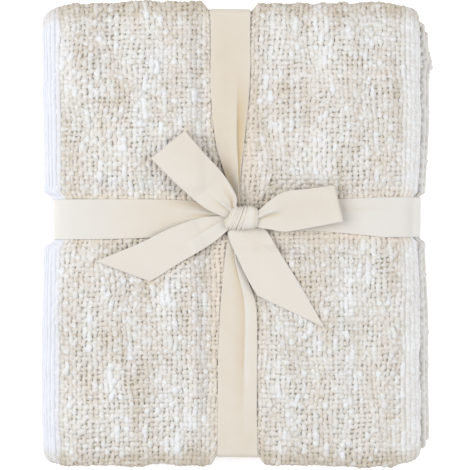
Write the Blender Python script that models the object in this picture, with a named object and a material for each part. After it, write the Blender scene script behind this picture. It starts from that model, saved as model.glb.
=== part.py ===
"""A woven slub throw folded twice into a flat pack and tied both ways with a cotton tape and a bow.

The throw is one flat cut of cloth, 4 mm thick. Its width is folded in thirds like a letter and its
length is then folded in half twice like a book, so the pack has four layers of three plies. The
function fold() carries every point of the flat cut to its place, and settle() then gives the pack its
soft, uneven outline and the grooves that the tied tape presses into it.

Metres, +Z up. The pack lies on z = 0 with its centre over the origin, and the bow is on top.
X runs along the folded length, from the closed spine on the left to the open ends on the right.
"""

from math import cos, pi, radians, sin

import bmesh
import bpy
from mathutils import Vector

MM = 0.001

# The cloth
CLOTH_THICK = 4.0 * MM
PLY_PITCH = 4.5 * MM
PLIES = 3
STACK = PLY_PITCH * PLIES
LAYER_PITCH = STACK + 0.5 * MM
LAYERS = 4
FIRST_LAYER = PLY_PITCH + CLOTH_THICK / 2
PACK_HEIGHT = 2 * FIRST_LAYER + LAYER_PITCH * (LAYERS - 1)

# The folded pack seen from above, before it settles
PACK_LEFT = -185.0 * MM
PACK_FRONT = -219.2 * MM
PACK_BACK = 220.0 * MM
SPINE_RADIUS = 1.5 * LAYER_PITCH
LOOP_RADIUS = 0.5 * LAYER_PITCH
SPINE_X = PACK_LEFT + SPINE_RADIUS + FIRST_LAYER
TOP_FOLD_X = 161.5 * MM
THIRD_END_X = 180.5 * MM
BOTTOM_END_X = 185.0 * MM

# Where the letter fold turns and where its two flaps end
NEAR_TURN_RADIUS = PLY_PITCH / 2
FAR_TURN_RADIUS = PLY_PITCH
NEAR_TURN_Y = PACK_FRONT + NEAR_TURN_RADIUS + CLOTH_THICK / 2
FAR_TURN_Y = PACK_BACK - FAR_TURN_RADIUS - CLOTH_THICK / 2
INNER_FLAP_Y = FAR_TURN_Y - 2.0 * MM
OUTER_FLAP_Y = NEAR_TURN_Y + 5.0 * MM

# The tape and the two ways round the pack
TAPE_WIDE = 38.0 * MM
TAPE_THICK = 1.0 * MM
TAPE_GAP = 1.0 * MM
TAPE_OFF = TAPE_GAP + TAPE_THICK / 2
TAPE_COLUMNS = 6
CROSS_Y = 15.4 * MM
CROSS_SLOPE = 0.007
LENGTH_X = -2.4 * MM
LENGTH_SLOPE = -0.0156
CROSS_LOW = 0.1 * MM + TAPE_THICK / 2
LENGTH_LOW = 1.5 * MM + TAPE_THICK / 2
END_CORNER = 5.0 * MM
PLEAT_HIGH = 1.6 * MM
PLEAT_WAVES = 1.5
PLEATS_FULL_RISE = 2.0 * MM

# How the tape grooves the pack
GROOVE_STOP = 23.0 * MM
GROOVE_FLAT = 26.5 * MM
GROOVE_REACH = 42.0 * MM
CROSS_GROOVE = 1.6 * MM
LENGTH_GROOVE = 3.0 * MM
PRESS = 2.0 * MM
PINCH_CROSS = 10.0 * MM
PINCH_LENGTH = 8.5 * MM
PINCH_DEEP = 65.0 * MM

# How the soft pack rounds off
DOME = 4.5 * MM
ROLL_OFF = 5.5 * MM
ROLL_FROM = 112.0 * MM
ROLL_TO = 178.0 * MM
END_DROP = 2.5 * MM
END_FROM = 176.0 * MM
CORNER_IN = 11.0 * MM
CORNER_FROM = 143.0 * MM
TUCK = 9.0 * MM
TUCK_FROM = 128.0 * MM
WAVE = 1.1 * MM

# The knot, and how the loops and tails lie
KNOT_X = 6.2 * MM
KNOT_Y = 14.7 * MM
KNOT_Z = 62.7 * MM
KNOT_BLUNT = 8
KNOT_HALF_LONG = 15.0 * MM
KNOT_HALF_DEEP = 11.5 * MM
KNOT_HALF_HIGH = 7.0 * MM
KNOT_PLEATS = 4
KNOT_PLEAT_HIGH = 0.05
KNOT_RINGS = 16
KNOT_SIDES = 20
OVER_CLOTH = 1.3 * MM
OVER_TAPE = 3.4 * MM
LOOP_END_HIGH = 7.0 * MM
LOOP_ROOT_HIGH = 1.7 * MM
LOOP_PUFF = 3.0 * MM


def clear_scene():
    """Starts from an empty scene."""
    for item in list(bpy.data.objects):
        bpy.data.objects.remove(item)


def material(name, colour, roughness):
    """A plain finish, with linear colour values."""
    made = bpy.data.materials.new(name)
    made.use_nodes = True
    shader = made.node_tree.nodes["Principled BSDF"]
    shader.inputs["Base Color"].default_value = (*colour, 1.0)
    shader.inputs["Roughness"].default_value = roughness
    shader.inputs["Metallic"].default_value = 0.0
    return made


def smooth(share):
    """Eases from 0 to 1 as share goes from 0 to 1."""
    share = max(0.0, min(1.0, share))
    return share * share * (3 - 2 * share)


def mix(low, high, share):
    return low + (high - low) * share


# Folding

# A fold path is a row for each straight run or half turn: the run's length or the turn's radius, and
# the way it turns, -1 to the right and 1 to the left, with 0 for a run.
THIRDS_START = (INNER_FLAP_Y, 0.0)
THIRDS_PATH = (
    # size, turn
    (INNER_FLAP_Y - NEAR_TURN_Y, 0),
    (NEAR_TURN_RADIUS, -1),
    (FAR_TURN_Y - NEAR_TURN_Y, 0),
    (FAR_TURN_RADIUS, -1),
    (FAR_TURN_Y - OUTER_FLAP_Y, 0),
)
BOOK_START = (BOTTOM_END_X, FIRST_LAYER)
BOOK_PATH = (
    # size, turn
    (BOTTOM_END_X - SPINE_X, 0),
    (SPINE_RADIUS, -1),
    (TOP_FOLD_X - SPINE_X, 0),
    (LOOP_RADIUS, -1),
    (TOP_FOLD_X - SPINE_X, 0),
    (LOOP_RADIUS, 1),
    (THIRD_END_X - SPINE_X, 0),
)


def along(start, path, distance):
    """(place across, place up, heading across, heading up) at a distance along a fold path.

    Each path sets off towards the negative side."""
    across, up = start
    heading = -1.0
    for size, turn in path:
        length = pi * size if turn else size
        if distance > length:
            distance -= length
            if turn:
                up += 2 * size * turn * heading
                heading = -heading
            else:
                across += size * heading
            continue
        if not turn:
            return across + distance * heading, up, heading, 0.0
        angle = distance / size
        return (
            across + size * sin(angle) * heading,
            up + size * turn * heading * (1 - cos(angle)),
            heading * cos(angle),
            turn * heading * sin(angle),
        )
    return across, up, heading, 0.0


def fold(length_place, width_place, height):
    """The folded place of a point of the flat cut, height being up from its middle."""
    y, stack_height, heading_y, heading_h = along(THIRDS_START, THIRDS_PATH, width_place)
    y -= height * heading_h
    stack_height += height * heading_y
    x, z, heading_x, heading_z = along(BOOK_START, BOOK_PATH, length_place)
    return x - stack_height * heading_z, y, z + stack_height * heading_x


# Settling


def groove(offset):
    """1 under the tape, easing to 0 beside it."""
    return 1 - smooth((abs(offset) - GROOVE_FLAT) / (GROOVE_REACH - GROOVE_FLAT))


def cross_groove(x, y):
    return groove(y - CROSS_Y - CROSS_SLOPE * x)


def length_groove(x, y):
    return groove(x - LENGTH_X - LENGTH_SLOPE * y)


def top_rise(x, y):
    """How far the pack's top stands above its plain height."""
    tied = max(cross_groove(x, y), length_groove(x, y))
    crown = DOME * (1 - (x / PACK_LEFT) ** 4) * (1 - (y / PACK_FRONT) ** 4)
    rise = mix(crown, -PRESS, tied)
    rise -= ROLL_OFF * smooth((x - ROLL_FROM) / (ROLL_TO - ROLL_FROM))
    return rise - END_DROP * smooth((abs(y) - END_FROM) / (PACK_BACK - END_FROM))


def bottom_rise(x, y):
    """How far the tape lifts the pack's underside, which is flat elsewhere."""
    return max(CROSS_GROOVE * cross_groove(x, y), LENGTH_GROOVE * length_groove(x, y))


def pull_in(distance, limit, amount):
    """How far a point this far out is drawn in, growing over the last stretch before the limit."""
    share = max(0.0, (distance - limit + PINCH_DEEP) / PINCH_DEEP)
    return amount * share * share


def settle(x, y, z):
    """Moves a point of the plain pack to where the soft, tied pack has it."""
    share = z / PACK_HEIGHT
    low = bottom_rise(x, y)
    new_z = low + share * (PACK_HEIGHT + top_rise(x, y) - low)
    side_x = 1 if x > 0 else -1
    side_y = 1 if y > 0 else -1
    new_x = x - side_x * pull_in(abs(x), -PACK_LEFT, PINCH_CROSS * cross_groove(x, y))
    new_y = y - side_y * pull_in(abs(y), PACK_BACK, PINCH_LENGTH * length_groove(x, y))
    corner = max(0.0, (abs(x) - CORNER_FROM) / (-PACK_LEFT - CORNER_FROM)) ** 2
    new_y -= side_y * CORNER_IN * corner * abs(y / PACK_BACK) ** 3
    tuck = smooth((x - TUCK_FROM) / (BOTTOM_END_X - TUCK_FROM)) * (1 - share)
    new_y -= side_y * TUCK * tuck * abs(y / PACK_BACK) ** 3
    new_x += WAVE * sin(19 * y + 0.8) * abs(x / PACK_LEFT) ** 3
    new_y += WAVE * sin(23 * x + 2.1) * abs(y / PACK_BACK) ** 3
    return Vector((new_x, new_y, new_z))


# The throw

LENGTH_STOPS = (
    # Places along X where every layer has a row of points, from the spine to the open side
    -120 * MM,
    -78 * MM,
    LENGTH_X - GROOVE_REACH,
    LENGTH_X - GROOVE_STOP,
    LENGTH_X + GROOVE_STOP,
    LENGTH_X + GROOVE_REACH,
    78 * MM,
    112 * MM,
    138 * MM,
)
WIDTH_STOPS = (
    # Places along Y where every ply has a row of points, from front to back
    -170 * MM,
    -120 * MM,
    -68 * MM,
    CROSS_Y - GROOVE_REACH,
    CROSS_Y - GROOVE_STOP,
    CROSS_Y + GROOVE_STOP,
    CROSS_Y + GROOVE_REACH,
    92 * MM,
    138 * MM,
    180 * MM,
)
SPINE_STEPS = 9
LOOP_STEPS = 5
TURN_STEPS = 4


def flat_stops(start, path, stops, turn_steps):
    """Distances along the flat cut that fall on the stops, and evenly round each turn."""
    found = [0.0]
    place, done, heading = start[0], 0.0, -1.0
    for (size, turn), steps in zip(path, turn_steps):
        if turn:
            length = pi * size
            found += [done + length * i / steps for i in range(1, steps + 1)]
            heading = -heading
        else:
            length = size
            reached = [(stop - place) * heading for stop in stops]
            found += sorted(done + d for d in reached if 3 * MM < d < length - 3 * MM)
            found.append(done + length)
            place += size * heading
        done += length
    return found


def throw(finish):
    """The throw: a flat slab of cloth, folded and settled point by point."""
    length_stops = flat_stops(
        BOOK_START, BOOK_PATH, LENGTH_STOPS, (0, SPINE_STEPS, 0, LOOP_STEPS, 0, LOOP_STEPS, 0)
    )
    width_stops = flat_stops(
        THIRDS_START, THIRDS_PATH, WIDTH_STOPS, (0, TURN_STEPS, 0, TURN_STEPS, 0)
    )
    cloth = bmesh.new()
    bmesh.ops.create_grid(
        cloth, x_segments=len(length_stops) - 1, y_segments=len(width_stops) - 1, size=0.5
    )
    for vert in cloth.verts:
        row = round((vert.co.x + 0.5) * (len(length_stops) - 1))
        column = round((vert.co.y + 0.5) * (len(width_stops) - 1))
        vert.co = (length_stops[row], width_stops[column], -CLOTH_THICK / 2)
    sheet = bmesh.ops.extrude_face_region(cloth, geom=list(cloth.faces), use_keep_orig=True)
    for item in sheet["geom"]:
        if isinstance(item, bmesh.types.BMVert):
            item.co.z += CLOTH_THICK
    bmesh.ops.recalc_face_normals(cloth, faces=list(cloth.faces))
    for vert in cloth.verts:
        vert.co = settle(*fold(*vert.co))
    split_alike(cloth)
    bmesh.ops.recalc_face_normals(cloth, faces=list(cloth.faces))
    return placed("throw", cloth, finish)


def split_alike(cloth):
    """Splits each four-sided face the same way in plan, so that facing plies stay apart."""
    for face in list(cloth.faces):
        a, b, c, d = face.verts
        first, second = c.co - a.co, d.co - b.co
        ends = (a, c) if first.x * first.y > second.x * second.y else (b, d)
        bmesh.utils.face_split(face, *ends)


# The tape round the pack

# Each arm of the tape on the pack's top, from where it lies flat to where it is gathered into the
# knot: the place along the arm, the tape's two edges across it, and how far it has risen, in mm.
LEFT_ARM = (
    # x, low y, high y, rise
    (-120.0, -4.4, 33.4, 0.0),
    (-78.0, -3.0, 33.0, 0.0),
    (-60.0, -1.6, 32.0, 0.0),
    (-40.0, 1.6, 29.6, 0.2),
    (-26.0, 5.4, 22.4, 0.5),
    (-4.0, 9.4, 18.6, 0.4),
)
RIGHT_ARM = (
    # x, low y, high y, rise
    (138.0, -2.6, 35.2, 0.0),
    (112.0, 0.2, 34.2, 0.0),
    (78.0, 3.0, 32.8, 0.0),
    (48.0, 4.0, 29.0, 0.2),
    (34.0, 6.0, 23.0, 0.5),
    (16.0, 9.6, 18.8, 0.4),
)
BACK_ARM = (
    # y, low x, high x, rise
    (180.0, -24.2, 13.0, 0.0),
    (138.0, -24.4, 12.4, 0.0),
    (92.0, -20.4, 7.6, 0.0),
    (72.0, -15.8, 5.6, 0.2),
    (52.0, -9.6, 4.6, 0.5),
    (22.0, -2.4, 5.0, 0.4),
)
FRONT_ARM = (
    # y, low x, high x, rise
    (-170.0, -18.8, 19.0, 0.0),
    (-120.0, -18.6, 19.2, 0.0),
    (-68.0, -15.6, 18.6, 0.0),
    (-39.0, -12.6, 9.0, 0.2),
    (-18.0, -10.4, 2.0, 0.5),
    (7.0, -5.6, 3.0, 0.4),
)


def arc(centre, radius, from_degrees, to_degrees, steps):
    """Points round an arc, both ends included, as (across, up)."""
    turn = (to_degrees - from_degrees) / steps
    angles = [radians(from_degrees + turn * i) for i in range(steps + 1)]
    return [(centre[0] + radius * cos(a), centre[1] + radius * sin(a)) for a in angles]


def curved(rows, steps):
    """The rows of a table with steps between each two, on a smooth curve through all of them."""
    found = []
    for i in range(len(rows) - 1):
        before, here = rows[max(i - 1, 0)], rows[i]
        there, after = rows[i + 1], rows[min(i + 2, len(rows) - 1)]
        for step in range(steps):
            t = step / steps
            found.append(
                tuple(
                    b
                    + 0.5
                    * t
                    * (c - a + t * (2 * a - 5 * b + 4 * c - d + t * (3 * (b - c) + d - a)))
                    for a, b, c, d in zip(before, here, there, after)
                )
            )
    return found + [tuple(rows[-1])]


def arm_rows(table, steps):
    """An arm's rows in metres, from the pack's side to the knot."""
    return [tuple(value * MM for value in row) for row in curved(table, steps)]


def gather(width, share):
    """How high the pleats of narrowed tape stand at a share of the way across it."""
    spare = max(0.0, 1 - width / TAPE_WIDE)
    return PLEAT_HIGH * spare * cos(2 * pi * PLEAT_WAVES * share)


def strip(name, rows, finish):
    """Tape through rows of points, each row running from one edge to the other."""
    tape = bmesh.new()
    columns = len(rows[0]) - 1
    bmesh.ops.create_grid(tape, x_segments=len(rows) - 1, y_segments=columns, size=0.5)
    for vert in tape.verts:
        row = round((vert.co.x + 0.5) * (len(rows) - 1))
        column = round((vert.co.y + 0.5) * columns)
        vert.co = rows[row][column]
    item = placed(name, tape, finish)
    thick = item.modifiers.new("tape", "SOLIDIFY")
    thick.thickness = TAPE_THICK
    thick.offset = 0.0
    return item


def shares():
    return [i / TAPE_COLUMNS for i in range(TAPE_COLUMNS + 1)]


def top_row(place, low, high, rise, crosswise):
    """A row of an arm, lying on the pack's top."""
    row = []
    for share in shares():
        across = mix(low, high, share)
        x, y = (place, across) if crosswise else (across, place)
        point = settle(x, y, PACK_HEIGHT + TAPE_OFF)
        point.z += rise + gather(high - low, share) * smooth(rise / PLEATS_FULL_RISE)
        row.append(point)
    return row


def side_row(place, height, centre, crosswise):
    """A row where the tape passes round the pack's side, at full width."""
    row = []
    for share in shares():
        across = centre + TAPE_WIDE * (share - 0.5)
        x, y = (place, across) if crosswise else (across, place)
        row.append(settle(x, y, height))
    return row


def under_row(place, height, centre, crosswise):
    """A row where the tape passes under the pack, flat."""
    row = []
    for share in shares():
        across = centre + TAPE_WIDE * (share - 0.5)
        x, y = (place, across) if crosswise else (across, place)
        row.append(Vector((x, y, height)))
    return row


def edge_row(out, height):
    """A row round the sharp lower edge of the bottom layer's open end, this far out from it."""
    centre = CROSS_Y + CROSS_SLOPE * BOTTOM_END_X
    row = side_row(BOTTOM_END_X, 0.0, centre, True)
    return [Vector((point.x + out, point.y, height)) for point in row]


def cross_tape(finish):
    """The tape round the pack's two sides, from the knot's left end to its right."""
    left = arm_rows(LEFT_ARM, 2)
    right = arm_rows(RIGHT_ARM, 2)
    middle = PACK_HEIGHT / 2
    spine = arc((SPINE_X, middle), middle + TAPE_OFF, 90, 250, SPINE_STEPS - 1)
    fold_centre = (TOP_FOLD_X, PACK_HEIGHT - LOOP_RADIUS - FIRST_LAYER)
    fold_over = arc(fold_centre, LOOP_RADIUS + FIRST_LAYER + TAPE_OFF, 90, 18, 2)
    down = [
        (THIRD_END_X + TAPE_OFF, 2 * LAYER_PITCH),
        (BOTTOM_END_X + TAPE_OFF, LAYER_PITCH),
        (BOTTOM_END_X + TAPE_OFF, LAYER_PITCH / 2),
    ]
    rows = [top_row(*row, True) for row in reversed(left)]
    rows += [side_row(x, z, CROSS_Y + CROSS_SLOPE * x, True) for x, z in spine]
    for x in (SPINE_X, -100 * MM, 0.0, 100 * MM):
        rows.append(under_row(x, CROSS_LOW, CROSS_Y + CROSS_SLOPE * x, True))
    rows.append(edge_row(0.0, CROSS_LOW))
    rows.append(edge_row(0.7 * TAPE_OFF, 2 * CROSS_LOW))
    rows.append(edge_row(TAPE_OFF, 4 * CROSS_LOW))
    for x, z in reversed(fold_over + down):
        rows.append(side_row(x, z, CROSS_Y + CROSS_SLOPE * x, True))
    rows += [top_row(*row, True) for row in right]
    return strip("tape_across", rows, finish)


def length_tape(finish):
    """The tape round the pack's two ends, from the knot's back to its front."""
    back = arm_rows(BACK_ARM, 2)
    front = arm_rows(FRONT_ARM, 2)
    rows = [top_row(*row, False) for row in reversed(back)]
    for side, angles in ((1, (90, 0, 0, -70)), (-1, (250, 180, 180, 90))):
        end = PACK_BACK - END_CORNER if side > 0 else PACK_FRONT + END_CORNER
        high = (end, PACK_HEIGHT - END_CORNER)
        low = (end, END_CORNER)
        radius = END_CORNER + TAPE_OFF
        first, second = (high, low) if side > 0 else (low, high)
        profile = arc(first, radius, angles[0], angles[1], 3)
        profile += arc(second, radius, angles[2], angles[3], 3)
        if side < 0:
            for y in (165 * MM, 80 * MM, 0.0, -80 * MM, -165 * MM):
                rows.append(under_row(y, LENGTH_LOW, LENGTH_X + LENGTH_SLOPE * y, False))
        rows += [side_row(y, z, LENGTH_X + LENGTH_SLOPE * y, False) for y, z in profile]
    rows += [top_row(*row, False) for row in front]
    return strip("tape_along", rows, finish)


# The bow

# Rows of a loop or tail from the knot outwards: the tape's two edges in plan, and how far it stands
# above what lies under it, in mm.
RIGHT_LOOP = (
    # left x, left y, right x, right y, rise
    (21.6, 23.0, 21.6, 6.8, 4.4),
    (32.0, 32.4, 32.0, 5.4, 2.2),
    (46.0, 40.6, 46.0, 3.0, 0.9),
    (68.0, 43.6, 71.0, 6.0, 0.9),
    (92.6, 46.2, 101.8, 12.2, 1.6),
)
LEFT_LOOP = (
    # left x, left y, right x, right y, rise
    (-17.3, 20.7, 1.3, 29.1, 4.4),
    (-26.4, 23.8, 2.0, 38.2, 2.6),
    (-40.0, 34.4, -13.4, 57.0, 1.2),
    (-57.2, 49.6, -30.0, 75.4, 1.4),
    (-80.6, 70.6, -48.4, 96.6, 2.0),
)
LEFT_TAIL = (
    # left x, left y, right x, right y, rise
    (-7.6, 4.4, -9.4, 17.0, 3.0),
    (-21.4, -7.2, -30.0, 16.4, 1.0),
    (-37.6, -17.6, -48.0, 11.8, 0.4),
    (-53.8, -27.0, -67.2, 5.2, 0.4),
    (-74.0, -40.0, -92.0, -4.0, 0.4),
    (-81.6, -44.2, -133.4, -25.4, 0.6),
)
RIGHT_TAIL = (
    # left x, left y, right x, right y, rise
    (25.0, 4.7, -5.6, 4.3, 1.2),
    (30.0, -5.4, -1.6, -12.0, 0.9),
    (37.6, -11.4, 4.0, -27.0, 0.4),
    (51.0, -33.8, 13.8, -48.0, 0.4),
    (83.4, -88.4, 19.4, -57.4, 0.6),
)


def resting(x, y):
    """The lowest height at which tape may lie over a point of the pack's top."""
    cloth = PACK_HEIGHT + top_rise(x, y)
    return max(cloth + OVER_CLOTH, PACK_HEIGHT - PRESS + OVER_TAPE)


def plan_row(left_x, left_y, right_x, right_y, rise):
    """A row of the bow, over the highest that lies under it or close by."""
    near = (-7 * MM, 0.0, 7 * MM)
    places = [(mix(left_x, right_x, s), mix(left_y, right_y, s)) for s in shares()]
    base = max(resting(x + dx, y + dy) for x, y in places for dx in near for dy in near)
    width = (Vector((left_x, left_y)) - Vector((right_x, right_y))).length
    return [
        Vector((x, y, base + rise + gather(width, share)))
        for (x, y), share in zip(places, shares())
    ]


def bow_tail(name, table, steps, finish):
    """A free end of the tape, lying away from the knot to its slanted cut."""
    rows = [plan_row(*row) for row in arm_rows(table, steps)]
    return strip(name, rows, finish)


def bow_loop(name, table, steps, finish):
    """A loop of the bow: out from the knot, round its end and back over itself."""
    lower = [plan_row(*row) for row in arm_rows(table, steps)]
    count = len(lower) - 1
    upper = []
    for i, row in enumerate(lower):
        share = i / count
        high = mix(LOOP_ROOT_HIGH, LOOP_END_HIGH, smooth(share * 1.6))
        high += LOOP_PUFF * sin(pi * share) ** 2
        upper.append([point + Vector((0, 0, high)) for point in row])
    turn = []
    for angle in (-60, -30, 0, 30, 60):
        row = []
        for low, high, inner in zip(lower[-1], upper[-1], lower[-2]):
            outward = (low - inner).normalized()
            radius = (high - low).length / 2
            centre = (low + high) / 2
            reach = outward * radius * cos(radians(angle)) * 0.7
            row.append(centre + reach + Vector((0, 0, radius * sin(radians(angle)))))
        turn.append(row)
    return strip(name, lower + turn + upper[::-1], finish)


def knot(finish):
    """The knot: a pleated barrel along X that the arms, loops and tails run into."""
    barrel = bmesh.new()
    profile = []
    for ring in range(KNOT_RINGS + 1):
        share = 2 * ring / KNOT_RINGS - 1
        radius = (1 - abs(share) ** KNOT_BLUNT) ** 0.5
        radius *= 1 + KNOT_PLEAT_HIGH * cos(pi * KNOT_PLEATS * share)
        profile.append(barrel.verts.new((share * KNOT_HALF_LONG, 0.0, radius)))
    edges = [barrel.edges.new(pair) for pair in zip(profile, profile[1:])]
    bmesh.ops.spin(
        barrel,
        geom=profile + edges,
        cent=(0, 0, 0),
        axis=(1, 0, 0),
        angle=2 * pi,
        steps=KNOT_SIDES,
        use_merge=True,
    )
    bmesh.ops.remove_doubles(barrel, verts=list(barrel.verts), dist=1e-6)
    for vert in barrel.verts:
        vert.co.y = KNOT_Y + vert.co.y * KNOT_HALF_DEEP
        vert.co.z = KNOT_Z + vert.co.z * KNOT_HALF_HIGH
        vert.co.x += KNOT_X
    bmesh.ops.recalc_face_normals(barrel, faces=list(barrel.faces))
    return placed("bow_knot", barrel, finish)


def placed(name, shape, finish):
    """Makes an object of a bmesh."""
    mesh = bpy.data.meshes.new(name)
    shape.to_mesh(mesh)
    shape.free()
    mesh.materials.append(finish)
    mesh.shade_smooth()
    mesh.set_sharp_from_angle(angle=radians(50))
    item = bpy.data.objects.new(name, mesh)
    bpy.context.scene.collection.objects.link(item)
    return item


def main():
    clear_scene()
    cotton = material("slub_cotton", (0.72, 0.68, 0.62), 0.95)
    twill = material("cotton_tape", (0.80, 0.74, 0.64), 0.85)
    throw(cotton)
    cross_tape(twill)
    length_tape(twill)
    knot(twill)
    bow_loop("bow_loop_left", LEFT_LOOP, 3, twill)
    bow_loop("bow_loop_right", RIGHT_LOOP, 3, twill)
    bow_tail("bow_tail_left", LEFT_TAIL, 3, twill)
    bow_tail("bow_tail_right", RIGHT_TAIL, 3, twill)


main()
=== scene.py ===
"""Looks for a slub throw folded into a flat pack and tied both ways with a cotton tape and a bow.

The throw's solid is a slab of cloth in its folds. Here a finer slab takes its place in the same
folds, and yarns are woven over and under each other wherever the cloth shows. The tape and the bow
follow the same routes as their solids, with finer creases and a twill weave.

Named lengths and places are in metres. The tables of the tape and the bow are in millimetres.
"""

from math import pi, radians

import bmesh
import bpy
import numpy as np
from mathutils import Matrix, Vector


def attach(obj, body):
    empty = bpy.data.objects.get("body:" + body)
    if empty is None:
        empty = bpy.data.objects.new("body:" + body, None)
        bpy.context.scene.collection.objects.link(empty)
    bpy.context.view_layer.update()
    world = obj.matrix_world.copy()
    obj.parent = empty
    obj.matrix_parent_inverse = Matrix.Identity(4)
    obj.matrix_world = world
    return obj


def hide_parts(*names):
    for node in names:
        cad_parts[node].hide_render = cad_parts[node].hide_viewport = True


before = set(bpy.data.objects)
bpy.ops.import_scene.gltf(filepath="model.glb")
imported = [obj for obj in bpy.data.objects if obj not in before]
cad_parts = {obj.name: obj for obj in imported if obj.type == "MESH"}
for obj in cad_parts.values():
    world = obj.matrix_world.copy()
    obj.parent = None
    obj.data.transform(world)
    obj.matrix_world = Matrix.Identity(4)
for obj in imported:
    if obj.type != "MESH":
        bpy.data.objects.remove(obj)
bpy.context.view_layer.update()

MM = 0.001
BODY = "root"

# The cloth and its folds, as in the solid
CLOTH_THICK = 4.0 * MM
PLY_PITCH = 4.5 * MM
STACK = PLY_PITCH * 3
LAYER_PITCH = STACK + 0.5 * MM
LAYERS = 4
FIRST_LAYER = PLY_PITCH + CLOTH_THICK / 2
PACK_HEIGHT = 2 * FIRST_LAYER + LAYER_PITCH * (LAYERS - 1)
PACK_LEFT = -185.0 * MM
PACK_FRONT = -219.2 * MM
PACK_BACK = 220.0 * MM
SPINE_RADIUS = 1.5 * LAYER_PITCH
LOOP_RADIUS = 0.5 * LAYER_PITCH
SPINE_X = PACK_LEFT + SPINE_RADIUS + FIRST_LAYER
TOP_FOLD_X = 161.5 * MM
THIRD_END_X = 180.5 * MM
BOTTOM_END_X = 185.0 * MM
NEAR_TURN_RADIUS = PLY_PITCH / 2
FAR_TURN_RADIUS = PLY_PITCH
NEAR_TURN_Y = PACK_FRONT + NEAR_TURN_RADIUS + CLOTH_THICK / 2
FAR_TURN_Y = PACK_BACK - FAR_TURN_RADIUS - CLOTH_THICK / 2
INNER_FLAP_Y = FAR_TURN_Y - 2.0 * MM
OUTER_FLAP_Y = NEAR_TURN_Y + 5.0 * MM

# The tape, as in the solids
TAPE_WIDE = 38.0 * MM
TAPE_OFF = 1.5 * MM
CROSS_Y = 15.4 * MM
CROSS_SLOPE = 0.007
LENGTH_X = -2.4 * MM
LENGTH_SLOPE = -0.0156
CROSS_LOW = 0.6 * MM
LENGTH_LOW = 2.0 * MM
END_CORNER = 5.0 * MM

# How the pack settles, as in the solid
GROOVE_FLAT = 26.5 * MM
GROOVE_REACH = 42.0 * MM
CROSS_GROOVE = 1.6 * MM
LENGTH_GROOVE = 3.0 * MM
PRESS = 2.0 * MM
PINCH_CROSS = 10.0 * MM
PINCH_LENGTH = 8.5 * MM
PINCH_DEEP = 65.0 * MM
PINCH_FLAT = 19.5 * MM
PINCH_REACH = 27.0 * MM
EASE_RIGHT = 5.5 * MM
EASE_REACH = 115.0 * MM
DOME = 4.5 * MM
ROLL_OFF = 5.5 * MM
ROLL_FROM = 112.0 * MM
ROLL_TO = 178.0 * MM
END_DROP = 2.5 * MM
END_FROM = 176.0 * MM
CORNER_IN = 11.0 * MM
FULL_CORNER_IN = 6.0 * MM
CORNER_FROM = 143.0 * MM
TUCK = 9.0 * MM
BACK_TUCK = 20.0 * MM
TUCK_FROM = 128.0 * MM
WAVE = 1.1 * MM
OPEN_FROM = 166.0 * MM
OPEN_REACH = 14.0 * MM
OPEN_HEIGHT = 0.5
OPEN_HEIGHT_REACH = 0.2
BULGE = 3.5 * MM
BULGE_Y = 178.0 * MM
BULGE_REACH = 12.0 * MM

# The weave
YARN_PITCH = 4.6 * MM
CRIMP = 0.45 * MM
YARN_MIDDLE = 1.15 * MM
SUNK = 1.2 * MM
ACROSS_HALF_WIDE = 2.2 * MM
ACROSS_HALF_HIGH = 0.95 * MM
ACROSS_LOW = 0.12 * MM
ALONG_HALF_WIDE = 2.2 * MM
ALONG_HALF_HIGH = 1.1 * MM
CROWN_PUFF = 0.12
YARN_WANDER = 0.75 * MM
CLOTH_WANDER = 2.8 * MM
YARN_SIDES = 6
STEPS_PER_CROSSING = 3
NUB_HIGH = 0.5 * MM
RIB_HIGH = 0.4 * MM
SWELL = 0.9 * MM
UNDER_YARNS = 0.6 * MM
UNDER_RIBS = 2.1 * MM
BARE_CLOTH = 1.8 * MM
UNDER_TAPE = 2.85 * MM
HEM_RADIUS = 2.2 * MM
HEM_SIDES = 10
RIM_DEEP = 17.0 * MM
END_SHADE_FROM = 201.0 * MM
PAINTED_SHADOW_REACH = 5.0 * MM

# The yarns' tone, from dark at 0 to light at 1
STREAK_TONE = 0.36
UNEVEN_TONE = 0.12
GRAIN_TONE = 0.2
SPECK_TONE = 0.26
NUB_TONE = 0.3
RIB_TONE = 0.92
RIB_WHITE = 0.85
FOLD_WHITE = 0.9
WHITE_BEFORE = 6 * MM + YARN_PITCH
SHADE_DARKER = 0.75
RIM_PAINTED_LIGHT = 0.35
PAINTED_SHADOW_DARKER = 0.5

# The yarns' shares of the warm tint and, on the spine's ribs, of a bluish tint that is painted
# light
HUE_MOST = 0.35
PAINTED_SHADOW_WARMTH = 0.7
RIM_PAINTED_WARM_LIGHT = 0.3
PAINTED_COOL_LIGHT_SHARE = 0.9

# The finer slab
SLAB_STEP = 7.0 * MM
BOOK_TURN_STEPS = 14
THIRDS_TURN_STEPS = 8
BARE_TONE = 0.85

# The tape's finer shape
TAPE_TONE = 0.72
EDGE_TONE = 0.25
EDGE_REACH = 0.015
LOOP_PALER = 0.3
TAIL_PALER = 0.35
TAPE_THICK = 0.8 * MM
TAPE_COLUMNS = 40
ROW_STEPS = 10
OVER_CLOTH = 1.3 * MM
OVER_TAPE = 3.4 * MM
LOOP_END_HIGH = 5.5 * MM
LOOP_ROOT_HIGH = 1.7 * MM
LOOP_PUFF = 3.0 * MM
STIFFNESS = 0.6

# The knot, close to the solid
KNOT_X = 6.0 * MM
KNOT_Y = 15.6 * MM
KNOT_Z = 62.7 * MM
KNOT_HALF_LONG = 15.0 * MM
KNOT_HALF_DEEP = 11.5 * MM
KNOT_HALF_HIGH = 7.0 * MM
KNOT_BLUNT = 8
KNOT_RINGS = 120
KNOT_SIDES = 96
KNOT_SHEAR = 0.2
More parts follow.
